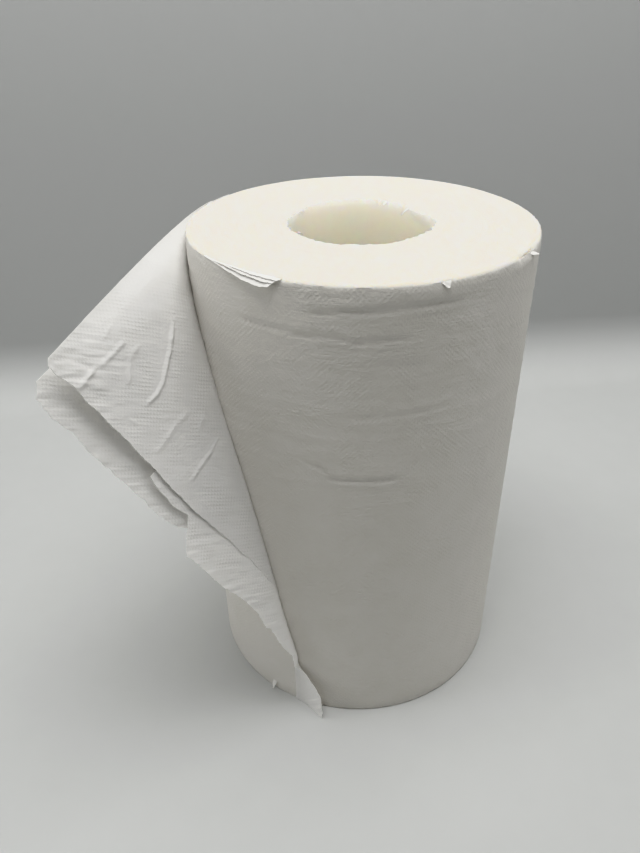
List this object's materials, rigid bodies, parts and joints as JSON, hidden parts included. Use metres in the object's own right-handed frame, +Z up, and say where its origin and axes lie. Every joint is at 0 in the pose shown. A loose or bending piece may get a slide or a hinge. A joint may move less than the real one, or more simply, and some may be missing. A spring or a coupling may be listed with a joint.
{
  "type": "paper towel roll",
  "caption": "Coreless roll of embossed tissue towel standing on end, with its last turn pulled loose beside it.",
  "frame": {"origin": "the roll's axis in its bottom face, at the lower end of the bore", "axes": "+Z up along the roll's axis; the loose end leaves the roll on the -X side and hangs towards -Y"},
  "size_m": [0.1755, 0.1619, 0.215],
  "materials": {
    "tissue_paper": "matte white embossed two-ply tissue"
  },
  "bodies": {
    "root": {"paper_roll": "tissue_paper"}
  },
  "joints": []
}
